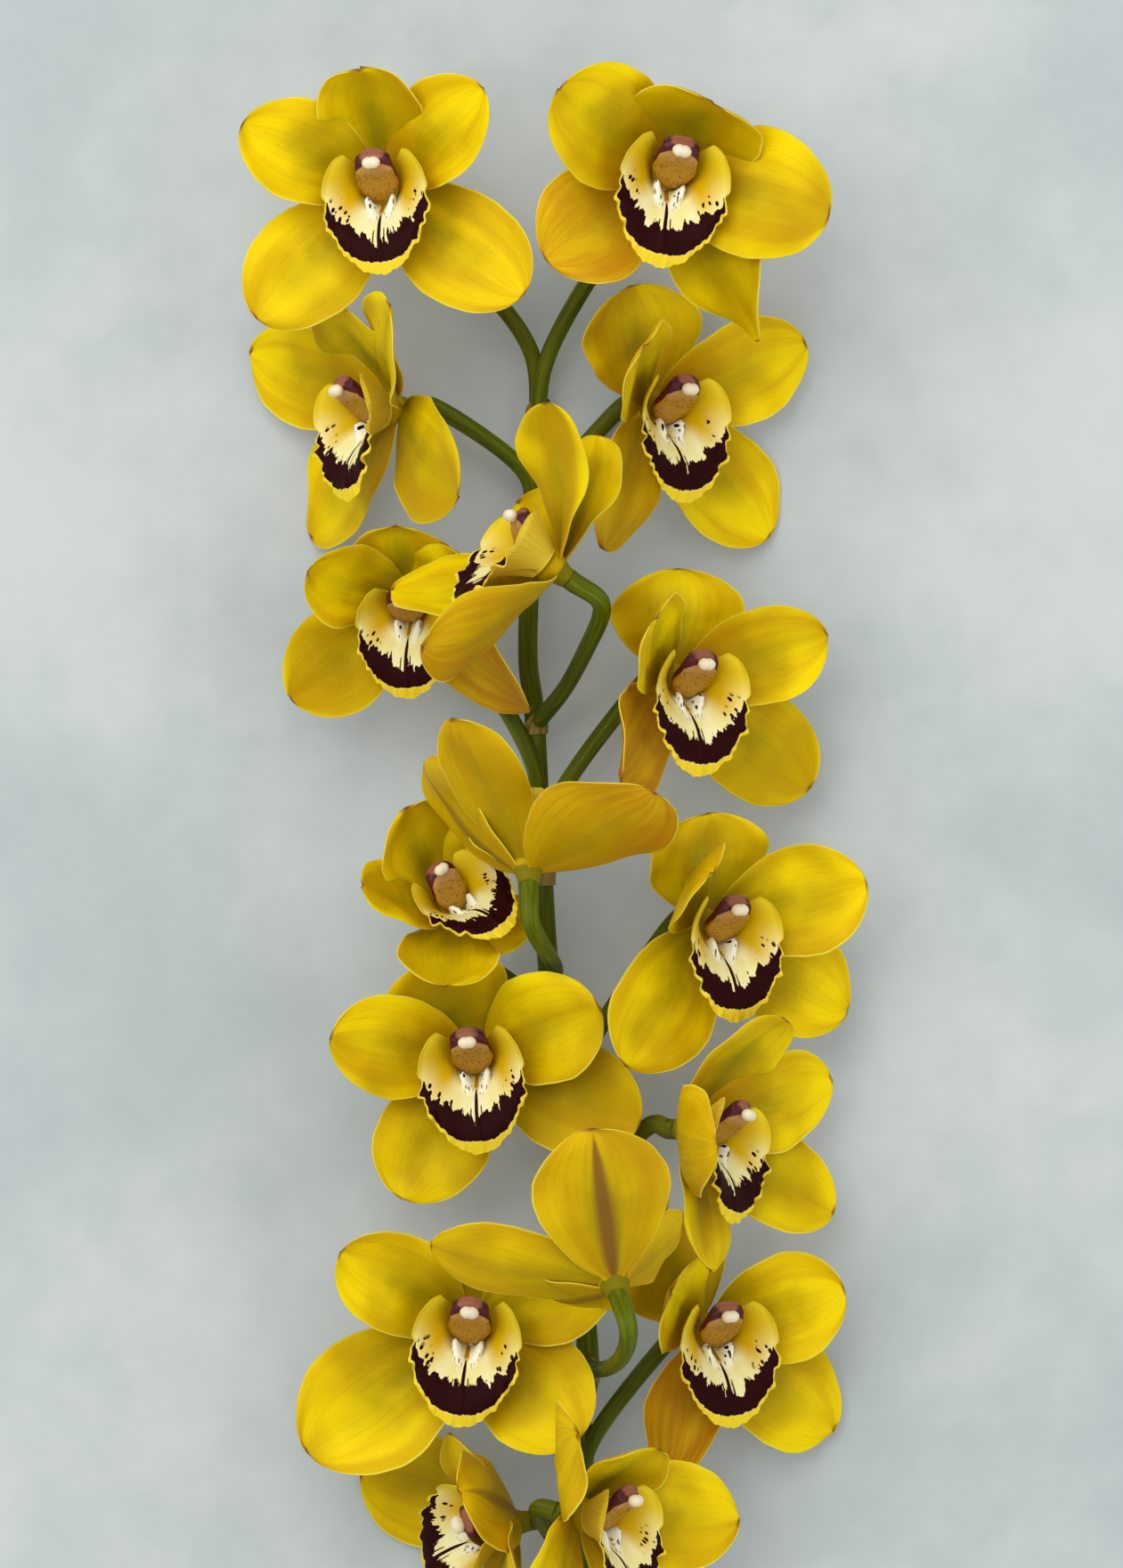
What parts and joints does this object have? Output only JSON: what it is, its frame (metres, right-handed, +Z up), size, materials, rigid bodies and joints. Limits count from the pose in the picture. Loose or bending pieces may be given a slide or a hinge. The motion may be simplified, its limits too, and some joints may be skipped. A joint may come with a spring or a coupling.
{
  "type": "cymbidium orchid stem",
  "caption": "Cut orchid stem lying flat: a green spike with stalked yellow cymbidium blooms up its sides, each with five tepals, a cream and maroon lip and a hooded column.",
  "frame": {"origin": "middle of the bounding box's bottom, on the surface that the stem lies on", "axes": "+Z up, +Y from the cut end towards the tip, +X to the right as seen from above"},
  "size_m": [0.2132, 0.7818, 0.1279],
  "materials": {
    "stem": "satin green stem",
    "tepals": "waxy yellow petal",
    "lip": "matte cream lip with a maroon band",
    "column": "waxy tan column"
  },
  "bodies": {
    "root": {"stem": "stem", "bloom_01_tepals": "tepals", "bloom_01_lip": "lip", "bloom_01_column": "column", "bloom_02_tepals": "tepals", "bloom_02_lip": "lip", "bloom_02_column": "column", "bloom_03_tepals": "tepals", "bloom_03_lip": "lip", "bloom_03_column": "column", "bloom_04_tepals": "tepals", "bloom_04_lip": "lip", "bloom_04_column": "column", "bloom_05_tepals": "tepals", "bloom_05_lip": "lip", "bloom_05_column": "column", "bloom_06_tepals": "tepals", "bloom_06_lip": "lip", "bloom_06_column": "column", "bloom_07_tepals": "tepals", "bloom_07_lip": "lip", "bloom_07_column": "column", "bloom_08_tepals": "tepals", "bloom_08_lip": "lip", "bloom_08_column": "column", "bloom_09_tepals": "tepals", "bloom_09_lip": "lip", "bloom_09_column": "column", "bloom_10_tepals": "tepals", "bloom_10_lip": "lip", "bloom_10_column": "column", "bloom_11_tepals": "tepals", "bloom_11_lip": "lip", "bloom_11_column": "column", "bloom_12_tepals": "tepals", "bloom_12_lip": "lip", "bloom_12_column": "column", "bloom_13_tepals": "tepals", "bloom_13_lip": "lip", "bloom_13_column": "column", "bloom_14_tepals": "tepals", "bloom_14_lip": "lip", "bloom_14_column": "column", "bloom_15_tepals": "tepals", "bloom_15_lip": "lip", "bloom_15_column": "column", "bloom_16_tepals": "tepals", "bloom_16_lip": "lip", "bloom_16_column": "column", "bloom_17_tepals": "tepals", "bloom_17_lip": "lip", "bloom_17_column": "column"}
  },
  "joints": []
}
